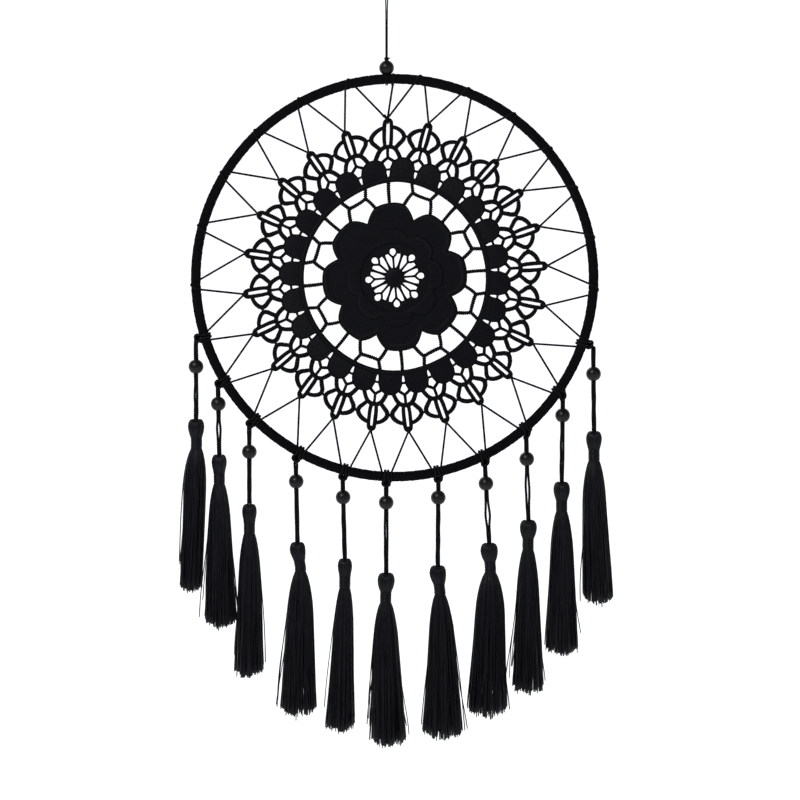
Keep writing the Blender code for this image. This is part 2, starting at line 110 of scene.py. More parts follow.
def add_studio():
    """Soft lights, a sky that looks pale but lights weakly, and a curved paper backdrop."""
    middle = (CENTRE[0], 0.0, CENTRE[2] - 0.08)
    add_area("key", (-0.75, -1.3, 0.65), middle, 0.55, 19.0)
    add_area("fill", (1.3, -1.2, -0.1), middle, 1.2, 3.0)
    add_area("rim", (-0.5, 1.2, 0.7), middle, 0.8, 5.0)
    world = bpy.data.worlds.new("studio")
    world.use_nodes = True
    nodes, links = world.node_tree.nodes, world.node_tree.links
    glow = nodes["Background"]
    seen = nodes.new("ShaderNodeBackground")
    for sky, strength in ((glow, SKY_LIGHT), (seen, SKY_SEEN)):
        sky.inputs["Color"].default_value = STUDIO_WHITE
        sky.inputs["Strength"].default_value = strength
    either = nodes.new("ShaderNodeMixShader")
    links.new(nodes.new("ShaderNodeLightPath").outputs["Is Camera Ray"], either.inputs["Fac"])
    links.new(glow.outputs["Background"], either.inputs[1])
    links.new(seen.outputs["Background"], either.inputs[2])
    links.new(either.outputs["Shader"], nodes["World Output"].inputs["Surface"])
    bpy.context.scene.world = world
    bpy.context.scene.view_settings.view_transform = "Standard"
    profile = [(-4.0, FLOOR_Z)]
    for step in range(13):
        turn = step / 12 * math.pi / 2
        across = WALL_Y - SWEEP_BEND + SWEEP_BEND * math.sin(turn)
        profile.append((across, FLOOR_Z + SWEEP_BEND * (1 - math.cos(turn))))
    profile.append((WALL_Y, WALL_TOP))
    sweep = Batch()
    sides = [[(x, y, z) for y, z in profile] for x in (-5.0, 5.0)]
    under = [[(x, y + 0.02, z - 0.02) for y, z in reversed(profile)] for x in (-5.0, 5.0)]
    sweep.grid(np.array([a + b for a, b in zip(sides, under)]))
    paper = material("backdrop_paper", (0.40, 0.41, 0.42), (0.44, 0.45, 0.46), 0.9, scale=6.0)
    shader = paper.node_tree.nodes["Principled BSDF"]
    shader.inputs["Emission Color"].default_value = STUDIO_WHITE
    shader.inputs["Emission Strength"].default_value = PAPER_GLOW
    sweep.build("backdrop", paper)


# --- mesh building ----------------------------------------------------------------------------
class Batch:
    """Collects closed grids of points into one mesh."""

    def __init__(self):
        self.points = []
        self.faces = {3: [], 4: []}
        self.count = 0

    def grid(self, points, loop_rows=False):
        """Rows of closed loops. The first and last rows are capped, unless the rows loop too."""
        rows, columns, _ = points.shape
        index = self.count + np.arange(rows * columns).reshape(rows, columns)
        after = np.roll(index, -1, axis=1)
        rows_used = slice(None) if loop_rows else slice(None, -1)
        above, above_after = np.roll(index, -1, axis=0), np.roll(after, -1, axis=0)
        corners = (index, after, above_after, above)
        quads = np.stack([corner[rows_used] for corner in corners], axis=-1).reshape(-1, 4)
        flat = points.reshape(-1, 3)
        triangles = np.zeros((0, 3), int)
        if not loop_rows:
            hubs = np.array([points[0].mean(axis=0), points[-1].mean(axis=0)])
            hub = self.count + len(flat)
            first = np.stack([np.full(columns, hub), after[0], index[0]], axis=-1)
            last = np.stack([np.full(columns, hub + 1), index[-1], after[-1]], axis=-1)
            triangles = np.vstack([first, last])
            flat = np.vstack([flat, hubs])
        base = flat.mean(axis=0)
        near = flat - base
        a, b, c, d = (near[quads[:, k] - self.count] for k in range(4))
        volume = np.einsum("ij,ij->", a, np.cross(b, c)) + np.einsum("ij,ij->", a, np.cross(c, d))
        if len(triangles):
            a, b, c = (near[triangles[:, k] - self.count] for k in range(3))
            volume += np.einsum("ij,ij->", a, np.cross(b, c))
        if volume < 0:
            quads = quads[:, ::-1]
            triangles = triangles[:, ::-1]
        self.points.append(flat)
        self.faces[4].append(quads)
        self.faces[3].append(triangles)
        self.count += len(flat)

    def build(self, name, finish):
        points = np.vstack(self.points)
        quads = np.vstack(self.faces[4])
        triangles = np.vstack(self.faces[3])
        mesh = bpy.data.meshes.new(name)
        mesh.vertices.add(len(points))
        mesh.vertices.foreach_set("co", points.astype(np.float32).ravel())
        loops = np.concatenate([quads.ravel(), triangles.ravel()])
        mesh.loops.add(len(loops))
        mesh.loops.foreach_set("vertex_index", loops.astype(np.int32))
        starts = np.concatenate(
            [np.arange(len(quads)) * 4, len(quads) * 4 + np.arange(len(triangles)) * 3]
        )
        mesh.polygons.add(len(starts))
        mesh.polygons.foreach_set("loop_start", starts.astype(np.int32))
        mesh.polygons.foreach_set("use_smooth", np.full(len(starts), True))
        mesh.update(calc_edges=True)
        mesh.validate()
        mesh.materials.append(finish)
        obj = bpy.data.objects.new(name, mesh)
        bpy.context.scene.collection.objects.link(obj)
        return obj


def finished(piece, body, slot_name, *nodes):
    """Rides a piece on its body and hides the CAD nodes that it stands for. Its slot name is not used."""
    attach(piece, body)
    if nodes:
        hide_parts(*nodes)
    return piece


def smooth_route(points, spacing):
    """Points about one spacing apart on a smooth curve through the given ones."""
    given = np.array(points, float)
    padded = np.vstack([2 * given[0] - given[1], given, 2 * given[-1] - given[-2]])
    found = []
    for i in range(1, len(padded) - 2):
        a, b, c, d = padded[i - 1 : i + 3]
        count = max(2, int(np.ceil(np.linalg.norm(c - b) / spacing)))
        t = np.linspace(0, 1, count, endpoint=False)[:, None]
        bend = 2 * a - 5 * b + 4 * c - d
        found.append(0.5 * (2 * b + (c - a) * t + bend * t**2 + (3 * b - 3 * c + d - a) * t**3))
    return np.vstack([*found, given[-1:]])


def unit(vectors):
    return vectors / np.maximum(np.linalg.norm(vectors, axis=-1, keepdims=True), 1e-12)


def directions(route, closed):
    if closed:
        return unit(np.roll(route, -1, axis=0) - np.roll(route, 1, axis=0))
    return unit(np.gradient(route, axis=0))


def carried_normals(along):
    """One direction across the route at each point, carried along it without twisting."""
    start = np.array((0.0, 1.0, 0.0)) if abs(along[0][1]) < 0.9 else np.array((1.0, 0.0, 0.0))
    across = [unit(start - along[0] * start.dot(along[0]))]
    for here in along[1:]:
        step = across[-1] - here * across[-1].dot(here)
        across.append(unit(step))
    return np.array(across)


def lengths_along(route):
    return np.concatenate([[0.0], np.cumsum(np.linalg.norm(np.diff(route, axis=0), axis=1))])


def add_cord(batch, route, radius, sides=8, plies=0, pitch=3 * MM, depth=0.25, closed=False, turn=0.0):
    """A round cord, with the grooves of its plies twisted round it."""
    along = directions(route, closed)
    first = carried_normals(along)
    second = np.cross(along, first)
    angle = np.arange(sides) / sides * TAU
    size = np.full((len(route), sides), radius)
    if plies:
        twist = lengths_along(route)[:, None] / pitch * TAU + turn
        size = radius * (1 - depth + depth * np.abs(np.cos(plies * (angle[None, :] - twist) / 2)))
    ring = np.cos(angle)[None, :, None] * first[:, None] + np.sin(angle)[None, :, None] * second[:, None]
    batch.grid(route[:, None] + ring * size[..., None], loop_rows=closed)


def add_overcast(batch, route, width, thickness, closed=False, pitch=0.85 * MM, bump=0.11):
    """A flat lace cord covered with close stitches that lie across it, in the hoop's plane."""
    along = directions(route, closed)
    out = np.tile(np.array((0.0, -1.0, 0.0)), (len(route), 1))
    side = np.cross(along, out)
    sides = 10
    angle = np.arange(sides) / sides * TAU
    travel = lengths_along(route)[:, None]
    stitch = 1 + bump * np.cos(travel / pitch * TAU + 1.2 * np.sin(angle)[None, :])
    wobble = 1 + 0.05 * np.sin(travel / (5.3 * MM) + route[0, 0] * 900)
    wide = (np.asarray(width) / 2).reshape(-1, 1) * stitch * wobble * np.cos(angle)[None, :]
    deep = thickness / 2 * stitch * np.sin(angle)[None, :]
    points = route[:, None] + side[:, None] * wide[..., None] + out[:, None] * deep[..., None]
    batch.grid(points, loop_rows=closed)


def circle_about(axis, segments):
    """The directions round an axis, from a fixed start."""
    first = unit(np.cross(axis, (0.3, 1.0, 0.1)))
    angle = np.arange(segments) / segments * TAU
    return np.cos(angle)[:, None] * first + np.sin(angle)[:, None] * np.cross(axis, first)


# --- materials --------------------------------------------------------------------------------
def material(
    name, dark, light, roughness, scale=900.0, stretch=(1.0, 1.0, 1.0), bump=0.2, bump_height=0.1 * MM,
    sheen=0.0, specular=0.5, coat=0.0, roughness_spread=0.08, fine=4.0,
):
    """A procedural material: two scales of grain drive its colour, roughness and bump."""
    made = bpy.data.materials.new(name)
    made.use_nodes = True
    nodes, links = made.node_tree.nodes, made.node_tree.links
    shader = nodes["Principled BSDF"]
    place = nodes.new("ShaderNodeTexCoord")
    mapping = nodes.new("ShaderNodeMapping")
    mapping.inputs["Scale"].default_value = stretch
    links.new(place.outputs["Object"], mapping.inputs["Vector"])
    coarse = nodes.new("ShaderNodeTexNoise")
    coarse.inputs["Scale"].default_value = scale
    coarse.inputs["Detail"].default_value = 5.0
    coarse.inputs["Roughness"].default_value = 0.6
    grain = nodes.new("ShaderNodeTexNoise")
    grain.inputs["Scale"].default_value = scale * fine
    grain.inputs["Detail"].default_value = 2.0
    for noise in (coarse, grain):
        links.new(mapping.outputs["Vector"], noise.inputs["Vector"])
    both = nodes.new("ShaderNodeMath")
    both.operation = "MULTIPLY_ADD"
    both.inputs[1].default_value = 0.45
    links.new(grain.outputs["Fac"], both.inputs[0])
    links.new(coarse.outputs["Fac"], both.inputs[2])
    colour = nodes.new("ShaderNodeValToRGB")
    colour.color_ramp.elements[0].position = 0.45
    colour.color_ramp.elements[0].color = (*dark, 1.0)
    colour.color_ramp.elements[1].position = 1.0
    colour.color_ramp.elements[1].color = (*light, 1.0)
    links.new(both.outputs["Value"], colour.inputs["Fac"])
    links.new(colour.outputs["Color"], shader.inputs["Base Color"])
    rough = nodes.new("ShaderNodeMapRange")
    rough.inputs["From Min"].default_value = 0.4
    rough.inputs["From Max"].default_value = 1.0
    rough.inputs["To Min"].default_value = roughness - roughness_spread
    rough.inputs["To Max"].default_value = min(1.0, roughness + roughness_spread)
    links.new(both.outputs["Value"], rough.inputs["Value"])
    links.new(rough.outputs["Result"], shader.inputs["Roughness"])
    relief = nodes.new("ShaderNodeBump")
    relief.inputs["Strength"].default_value = bump
    relief.inputs["Distance"].default_value = bump_height
    links.new(both.outputs["Value"], relief.inputs["Height"])
    links.new(relief.outputs["Normal"], shader.inputs["Normal"])
    shader.inputs["Sheen Weight"].default_value = sheen
    shader.inputs["Sheen Roughness"].default_value = 0.45
    shader.inputs["Sheen Tint"].default_value = (0.55, 0.57, 0.62, 1.0)
    shader.inputs["Specular IOR Level"].default_value = specular
    shader.inputs["Coat Weight"].default_value = coat
    shader.inputs["Coat Roughness"].default_value = 0.3
    return made


SUEDE = material(
    "black_suede", (0.0014, 0.0014, 0.0017), (0.0062, 0.0062, 0.0070), 0.92, scale=700.0, bump=0.5,
    sheen=0.006, specular=0.04,
)
THREAD = material(
    "waxed_thread", (0.0016, 0.0016, 0.0020), (0.0060, 0.0060, 0.0066), 0.55, scale=2200.0, bump=0.3,
    specular=0.08,
)
LACE = material(
    "lace_cotton", (0.0016, 0.0017, 0.0023), (0.0070, 0.0073, 0.0088), 0.74, scale=1500.0, bump=0.5,
    sheen=0.006, specular=0.05,
)
SATIN = material(
    "satin_stitch", (0.0016, 0.0018, 0.0026), (0.0072, 0.0077, 0.0100), 0.46, scale=1300.0, bump=0.6,
    sheen=0.005, specular=0.06,
)
CORD = material(
    "twisted_cord", (0.0016, 0.0016, 0.0020), (0.0070, 0.0070, 0.0078), 0.68, scale=1800.0, bump=0.5,
    sheen=0.007, specular=0.08,
)
BEAD = material(
    "painted_wood", (0.0018, 0.0018, 0.0020), (0.0066, 0.0066, 0.0070), 0.38, scale=260.0,
    stretch=(1.0, 1.0, 3.5), bump=0.25, bump_height=0.15 * MM, specular=0.24, coat=0.04, fine=6.0,
)
SILK = material(
    "viscose_strands", (0.0014, 0.0016, 0.0026), (0.0100, 0.0108, 0.0148), 0.38, scale=1400.0,
    stretch=(1.0, 1.0, 0.02), bump=0.15, specular=0.17, sheen=0.005, roughness_spread=0.12,
)
WIRE = material(
    "wire", (0.30, 0.30, 0.31), (0.42, 0.42, 0.43), 0.35, scale=800.0, stretch=(1.0, 6.0, 1.0), bump=0.1,
)
WIRE.node_tree.nodes["Principled BSDF"].inputs["Metallic"].default_value = 1.0


# --- hoop -------------------------------------------------------------------------------------
def polar(radius, degrees, y=0.0):
    """A point in the hoop's plane, or y behind it."""
    angle = np.radians(degrees)
    return CENTRE + np.array((radius * np.cos(angle), y, radius * np.sin(angle)))


SUEDE_TURNS = 118


def add_hoop():
    """The suede strip, wound round the ring with each turn lapped over the last."""
    rows = SUEDE_TURNS * 20
    sides = 28
    angle = np.arange(rows)[:, None] / rows * TAU
    turn = np.arange(sides)[None, :] / sides * TAU
    lap = (SUEDE_TURNS * angle / TAU + turn / TAU) % 1.0
    edge = 0.20 * MM * np.clip((1 - lap) * 7, 0, 1) - 0.16 * MM * lap
    nap = 0.05 * MM * np.sin(37 * angle + 3 * turn) * np.sin(211 * angle - 2 * turn)
    dent = np.zeros_like(lap)
    slant = 1.5 * np.cos(turn / 2) * np.where(np.sin(turn) > 0, -1, 1)
    for middle in (THREAD_START, *TURNS_LEFT, *TURNS_RIGHT):
        away = (np.degrees(angle) - middle - slant + 180) % 360 - 180
        dent += 0.42 * MM * np.exp(-((away / 0.42) ** 2))
    size = TUBE_RADIUS - 0.02 * MM + edge + nap - dent
    far = HOOP_RADIUS + size * np.cos(turn)
    points = np.stack([far * np.cos(angle), size * np.sin(turn), far * np.sin(angle)], axis=-1)
    batch = Batch()
    batch.grid(points + CENTRE, loop_rows=True)
    finished(batch.build("hoop_suede", SUEDE), "hoop", "suede", "hoop_wrap")
    wire = frame["nodes"]["hoop_ring"]
    wire.data.materials.clear()
    wire.data.materials.append(WIRE)


# --- web thread -------------------------------------------------------------------------------
def rise(degrees, middle, width):
    """1 at an angle called middle, falling to nothing round it."""
    return math.exp(-(((degrees % 360 - middle) / width) ** 2))


def stretched(radius, degrees):
    """The web pulls the lace unevenly round the hoop, by up to 2.4 degrees at its tips."""
    left = 2.4 * rise(degrees, 205, 40) + 1.3 * rise(degrees, 255, 22)
    top = -2.4 * rise(degrees, 88, 19) - 0.7 * rise(degrees, 52, 20)
    return degrees + (left + top) * (radius / TIP_RADIUS) ** 2


def pulled(radius, degrees):
    """The web pulls the lace unevenly outwards too, most at the top and at the tips there."""
    body = 3.0 * rise(degrees, 90, 20) + 1.6 * rise(degrees, 62, 26) + 1.3 * rise(degrees, 266, 28)
    body += 1.2 * rise(degrees, 318, 27)
    tips = 1.0 + 1.3 * rise(degrees, 58, 35) + 1.2 * rise(degrees, 92, 8)
    tips -= 1.1 * rise(degrees, 150, 45) + 0.9 * rise(degrees, 318, 27)
    on_body = min(1.0, max(0.0, (radius / MM - 41.0) / 20.0))
    on_tips = max(0.0, (radius / MM - 88.0) / 24.0)
    return radius + (body * on_body + tips * on_tips) * MM


def lace_ray(radius, degrees, y=0.0):
    """A point of the lace, given in mm where it would lie if nothing pulled the lace."""
    turned = stretched(radius * MM, degrees)
    return polar(pulled(radius * MM, turned), turned, y * MM)


def tip_angle(after):
    """The angle of the first needle eye past a given one."""
    step = TIP_SPACING * math.ceil((after - LACE_PHASE) / TIP_SPACING)
    return stretched(EYE_RADIUS, LACE_PHASE + step)


def round_tube(middle, turn, sideways, radius):
    """A point round the hoop's tube. Turn 0 is its inner side, 90 the back, 270 the front."""
    degrees = middle + sideways
    out = -radius * math.cos(math.radians(turn))
    return polar(HOOP_RADIUS + out, degrees, radius * math.sin(math.radians(turn)))


def thread_turn(middle, tied):
    """Half a turn that presses into the suede. At a hitch it passes over the hitch's back."""
    close = TUBE_RADIUS + 0.18 * MM
    if tied:
        steps = (  # degrees round the tube, degrees along it, and distance from its middle
            (48, -1.30, close), (70, -1.25, close + 1.1 * MM), (95, -0.7, close + 2.0 * MM),
            (120, 0.1, close + 2.2 * MM), (145, 0.85, close + 1.7 * MM), (168, 1.25, close + 0.4 * MM),
            (195, 1.32, close), (225, 1.34, close), (255, 1.35, close), (285, 1.35, close),
            (312, 1.35, close),
        )
    else:
        steps = tuple((turn, 1.5 * (turn - 180) / 132, close) for turn in range(48, 313, 24))
    return [round_tube(middle, turn, side, radius) for turn, side, radius in steps]


def add_knot(batch, at, size, radius, tilt=0.0):
    """A small overhand knot."""
    t = np.linspace(0, TAU, 60, endpoint=False)
    x = np.sin(t) + 2 * np.sin(2 * t)
    z = np.cos(t) - 2 * np.cos(2 * t)
    y = -1.3 * np.sin(3 * t)
    turned = (x * math.cos(tilt) - z * math.sin(tilt), y, x * math.sin(tilt) + z * math.cos(tilt))
    add_cord(batch, np.stack(turned, -1) * size / 3 + np.array(at), radius, closed=True)


def eased(points, spacing, rounds):
    """A thread drawn tight through points, with its corners eased."""
    dense = [points[:1]]
    for a, b in zip(points[:-1], points[1:]):
        count = max(1, int(np.linalg.norm(b - a) / spacing))
        dense.append(a + (b - a) * (np.arange(1, count + 1) / count)[:, None])
    dense = np.vstack(dense)
    for _ in range(rounds):
        dense[1:-1] = (dense[:-2] + 2 * dense[1:-1] + dense[2:]) / 4
    return dense


def add_web():
    """One thread, laced anticlockwise from the hoop's top until it is back there."""
    close = TUBE_RADIUS + 0.18 * MM
    route = [round_tube(THREAD_START, turn, 0.0, close) for turn in (200, 255, 310)]
    last = THREAD_START
    for middle in (*TURNS_LEFT, *HITCH_ANGLES, *TURNS_RIGHT):
        eye = tip_angle(last)
        reach = pulled(EYE_RADIUS, eye) + 1.2 * MM
        for side, y in ((0.10, -1.75), (0.0, -1.2), (0.0, 1.2), (-0.10, 1.75)):
            route.append(polar(reach + (2.4 * MM if side else 0.0), eye + side, y * MM))
        route += thread_turn(middle, middle in HITCH_ANGLES)
        last = middle
    eye = tip_angle(last)
    top = pulled(TIP_RADIUS, eye)
    knot_at = polar(top + 1.0 * MM, eye + 1.15, -1.9 * MM)
    route += [polar(top - 0.3 * MM, eye - 0.2, -2.3 * MM), polar(top + 0.3 * MM, eye + 0.7, -2.2 * MM)]
    route.append(knot_at)
    batch = Batch()
    thread = eased(np.array(route), 0.45 * MM, 3)
    add_cord(batch, thread, THREAD_RADIUS, plies=3, pitch=2.6 * MM, depth=0.16)
    add_knot(batch, knot_at, 1.05 * MM, 0.55 * MM, tilt=0.4)
    add_knot(batch, polar(HOOP_RADIUS - 5.2 * MM, THREAD_START + 0.2, -3.0 * MM), 0.8 * MM, 0.5 * MM)
    tail = [knot_at, knot_at + (-1.3 * MM, -0.6 * MM, 1.0 * MM), knot_at + (-2.2 * MM, -0.8 * MM, 0.7 * MM)]
    add_cord(batch, smooth_route(tail, 0.3 * MM), 0.45 * MM, sides=6)
    finished(batch.build("web_thread", THREAD), "hoop", "thread", "web_cord")


# --- lace medallion ---------------------------------------------------------------------------
def lace_route(points, middle):
    """A smooth route in the lace from (radius, sideways offset) in mm round a ray."""
    placed = [lace_ray(radius, middle + math.degrees(offset / radius)) for radius, offset in points]
    return smooth_route(placed, STEP)


def both_sides(half):
    """A route that runs up one side of a ray and down the other, from its one half."""
    return list(half) + [(radius, -offset) for radius, offset in reversed(half) if offset]


def add_tip(batch, middle):
    """A needle-eye loop, its two wings, and the arch that carries them."""
    eye = [(93.2, -1.9), (98.0, -2.35), (103.0, -2.4), (107.4, -2.3), (109.9, -1.75), (110.9, 0.0)]
    add_overcast(batch, lace_route(both_sides(eye), middle), 3.0 * MM, 1.9 * MM, bump=0.13)
    for side in (-1, 1):
        wing = [(105.9, 2.6), (105.3, 5.3), (103.9, 8.1), (102.0, 10.2), (99.8, 11.2), (97.3, 10.3)]
        wing += [(95.0, 8.2), (92.9, 6.2), (91.4, 4.6)]
        route = lace_route([(radius, side * offset) for radius, offset in wing], middle)
        swell = np.sin(np.linspace(0, math.pi, len(route))) ** 0.8
        add_overcast(batch, route, 3.0 * MM + 0.5 * MM * swell, 1.9 * MM, bump=0.14)
        tie = lace_route([(99.9, side * 11.6), (99.9, side * 13.3)], middle)
        add_overcast(batch, tie, 1.9 * MM, 1.3 * MM)
        leg = lace_route([(85.5, 0.0), (83.8, side * 2.2), (82.2, side * 4.4)], middle)
        add_overcast(batch, leg, 2.4 * MM, 1.4 * MM, bump=0.14)
    arch = [(84.6, -8.5), (87.2, -7.5), (89.6, -6.3), (91.5, -4.7), (92.6, -2.5), (92.9, 0.0)]
    add_overcast(batch, lace_route(both_sides(arch), middle), 3.4 * MM, 2.0 * MM, bump=0.14)
    stem = lace_route([(92.2, 0.0), (88.8, 0.15), (85.2, 0.0)], middle)
    add_overcast(batch, stem, 2.3 * MM, 1.4 * MM, bump=0.16)
    bar = lace_route([(76.8, -2.6), (76.7, 0.0), (76.8, 2.6)], middle)
    add_overcast(batch, bar, 1.9 * MM, 1.4 * MM)


SHELL_BASE = 70.6
SHELL_TOP = 85.1
SHELL_SHOULDER = 7.7


def shell_top(offset):
    """The radius of a shell's rounded top, in mm, at an offset from its middle."""
    return SHELL_TOP - 4.2 * (min(1.0, abs(offset) / SHELL_SHOULDER)) ** 2.5


def shell_half_width(radius):
    """In mm. A shell is nearly straight up to its shoulders."""
    radii = (SHELL_BASE, 73.0, 76.5, 78.2, 80.2, 81.8)
    return float(np.interp(radius, radii, (8.9, 8.75, 9.0, 8.9, 8.2, 7.8)))


def add_shell(satin, batch, middle, rng):
    """A ribbed satin shell with a corded edge."""
    rows = 22
    ribs = 12
    across = np.linspace(-1, 1, 61)
    lift = rng.uniform(-0.05, 0.05, ribs + 1)
    loops = []
    for row in range(rows):
        height = row / (rows - 1)
        front = []
        back = []
        for a in across:
            top = shell_top(a * SHELL_SHOULDER) - 0.3
            radius = SHELL_BASE + (top - SHELL_BASE) * height
            degrees = middle + math.degrees(a * (shell_half_width(radius) - 0.4) / radius)
            dome = 0.62 + 0.5 * (1 - a * a) * math.sin(math.pi * min(1.0, 0.15 + 0.8 * height))
            number = ribs * (a + 1) / 2
            rib = 0.24 * abs(math.sin(math.pi * number)) ** 0.7 + lift[min(ribs, int(number))]
            dash = 0.06 * math.sin(height * 40 + 5 * math.floor(number))
            deep = dome + rib + dash
            front.append(lace_ray(radius, degrees, -deep))
            back.append(lace_ray(radius, degrees, 0.75 * deep))
        loops.append(front + back[::-1])
    satin.grid(np.array(loops))
    edge = [(71.2, -8.3), (74.0, -8.1), (76.6, -8.35), (78.3, -8.15), (80.1, -7.55), (81.7, -7.1)]
    edge += [(shell_top(offset) - 0.2, -offset) for offset in (5.8, 4.0, 2.0, 0.0)]
    add_overcast(batch, lace_route(both_sides(edge), middle), 1.5 * MM, 2.0 * MM, pitch=0.7 * MM)


def ring_route(radius, spacing=0.25 * MM):
    count = int(TAU * radius * MM / spacing)
    return np.array([lace_ray(radius, turn) for turn in np.arange(count) / count * 360.0])


def add_ring(satin, batch):
    """The satin band that the shells stand on, edged with cord on both sides."""
    band = ring_route(69.2, 0.3 * MM)
    add_overcast(satin, band, 4.2 * MM, 1.5 * MM, closed=True, pitch=0.9 * MM, bump=0.08)
    for radius in (67.6, 70.8):
        add_overcast(batch, ring_route(radius), 1.25 * MM, 1.9 * MM, closed=True, pitch=0.8 * MM)


# A petal's edge: degrees from its middle, and how far of the way from the valley to the tip.
PETAL_OFF = (0.0, 3.0, 6.0, 9.0, 11.0, 13.0, 15.0, 17.5, 20.0, 22.5)
PETAL_REACH = (1.0, 1.0, 0.99, 0.96, 0.91, 0.82, 0.69, 0.48, 0.25, 0.0)


def off_petal(degrees):
    """Degrees from the middle of the nearest petal."""
    return abs((degrees - LACE_PHASE + PETAL_SPACING / 2) % PETAL_SPACING - PETAL_SPACING / 2)


def petal_edge(degrees, valley, tip):
    """The radius of a flower's edge: round petals that meet in sharp valleys."""
    return valley + (tip - valley) * float(np.interp(off_petal(degrees), PETAL_OFF, PETAL_REACH))


def add_net(batch):
    """Bars from the ring to the flower, joined by a bar over each valley."""
    over_petal = [((67.8, 0.0), (61.0, 0.2), (52.6, 0.0))]  # radius in mm, and degrees off
    over_valley = []
    for side in (-1, 1):
        over_valley.append(((67.8, side * 8.6), (64.8, side * 7.7), (60.7, side * 6.4)))
        over_valley.append(((61.2, side * 6.4), (57.0, side * 8.8), (52.0, side * 11.4)))
    over_valley.append(((60.9, -6.6), (60.2, -3.0), (60.1, 3.0), (60.8, 6.6)))
    for petal in range(PETALS):
        middle = LACE_PHASE + petal * PETAL_SPACING
        for ray, bars in ((middle, over_petal), (middle + PETAL_SPACING / 2, over_valley)):
            for bar in bars:
                route = smooth_route([lace_ray(radius, ray + off) for radius, off in bar], STEP)
                add_overcast(batch, route, 2.75 * MM, 1.5 * MM, bump=0.2, pitch=1.45 * MM)


HOLE_AT = 19.3  # mm from the centre, as the two below
HOLE_RADIUS = 2.8
ROSETTE_EDGE = 18.4


def rosette_edge(degrees):
    """Where the flower's cloth starts, in mm: a circle with a round bay over each small hole."""
    off = math.radians(off_petal(degrees))
    reach = HOLE_AT * math.sin(off)
    if reach >= HOLE_RADIUS:
        return ROSETTE_EDGE
    return max(ROSETTE_EDGE, HOLE_AT * math.cos(off) + math.sqrt(HOLE_RADIUS**2 - reach**2))


def add_cloth_ring(batch, inner, outer, height, back, count=1440, steps=44):
    """A flat ring of cloth between two edges, given in mm, with relief on its front."""
    loops = []
    for i in range(count):
        degrees = i / count * 360.0
        low, high = inner(degrees), outer(degrees)
        front = []
        under = []
        for k in range(steps):
            radius = low + (high - low) * k / (steps - 1)
            front.append(lace_ray(radius, degrees, -height(radius, degrees, low, high)))
            if k % 6 == 0 or k == steps - 1:
                under.append(lace_ray(radius, degrees, back))
        loops.append(front + under[::-1])
    batch.grid(np.array(loops), loop_rows=True)


def add_dome(batch, profile):
    """The flower's ribbed middle. The profile is (radius, how far back), from front to back."""
    segments = 96
    axis = np.array((0.0, 1.0, 0.0))
    shape = np.array(profile)
    ribs = 1 + 0.03 * np.cos(24 * np.arange(segments) / segments * TAU)
    size = shape[:, :1] * ribs[None, :]
    points = circle_about(axis, segments)[None] * size[..., None] + (shape[:, 1:] * axis)[:, None]
    batch.grid(points + CENTRE)


def add_spoke(batch, ray, inner, outer, slim, wide):
    """A bar of the rosette, broader at both of its ends."""
    radii = (inner, (inner + outer) / 2, outer)
    route = smooth_route([polar(radius * MM, ray) for radius in radii], STEP)
    share = np.linspace(-1, 1, len(route))
    add_overcast(batch, route, (slim + (wide - slim) * np.abs(share) ** 3) * MM, 1.5 * MM, bump=0.14)


def add_flower(satin, batch):
    """The cloth petals with their corded edges, and the open rosette in their middle."""

    def outer(degrees):
        return petal_edge(degrees, 43.5, 52.9)

    def height(radius, degrees, low, high):
        from_edge = high - radius
        if from_edge < 4.2:
            rim = 0.5 * math.sin(math.pi * from_edge / 4.2)
            return 0.62 + rim + 0.15 * math.cos(math.radians(degrees) * 464)
        rows = 0.09 * math.cos(from_edge * 3.3)
        cells = 0.06 * math.cos(radius * 6.0) * math.cos(math.radians(degrees) * 160)
        return 0.62 + rows + cells

    add_cloth_ring(satin, rosette_edge, outer, height, 0.7)
    turns = np.arange(0, 360, 0.22)
    edge = np.array([lace_ray(outer(turn), turn) for turn in turns])
    add_overcast(batch, edge, 1.25 * MM, 1.7 * MM, closed=True, pitch=1.1 * MM, bump=0.25)
    rim = np.array([lace_ray(rosette_edge(turn) + 0.2, turn) for turn in turns])
    add_overcast(batch, rim, 1.3 * MM, 1.7 * MM, closed=True, pitch=0.8 * MM)
    for petal in range(PETALS):
        middle = LACE_PHASE + petal * PETAL_SPACING
        add_spoke(batch, middle, 6.2, 16.2, 1.7, 2.6)
        add_spoke(batch, middle + PETAL_SPACING / 2, 6.2, 19.2, 1.8, 4.2)
        for side in (-1, 1):
            fork = [(15.0, middle), (16.8, middle + side * 6.2), (19.2, middle + side * 10.4)]
            route = smooth_route([polar(radius * MM, ray) for radius, ray in fork], STEP)
            add_overcast(batch, route, 1.75 * MM, 1.5 * MM, bump=0.14)
    dome = [(0.3, -1.35), (2.2, -1.30), (4.2, -1.2), (5.9, -1.0), (7.0, -0.5)]
    dome += [(7.2, 0.1), (6.8, 0.6), (3.0, 0.75), (0.3, 0.75)]
    add_dome(satin, [(r * MM, h * MM) for r, h in dome])


def add_overlay():
    """The smaller ring of petals sewn on the front of the flower."""
    batch = Batch()

    def outer(degrees):
        return petal_edge(degrees, 29.6, 35.6)

    def inner(degrees):
        return 25.4

    def height(radius, degrees, low, high):
        from_edge = high - radius
        roll = 0.45 * math.sqrt(min(1.0, from_edge / 0.8))
        rim = 0.11 * math.cos(degrees * 40 * 8 / 57.3)
        stitch = rim if from_edge < 2.6 else 0.06 * math.cos(radius * 6.5)
        return 1.25 + roll + stitch - 0.35 * math.exp(-(radius - low) * 1.6)

    add_cloth_ring(batch, inner, outer, height, -1.0, count=1080, steps=24)
    finished(batch.build("flower_front", SATIN), "hoop", "lace", "flower_overlay")


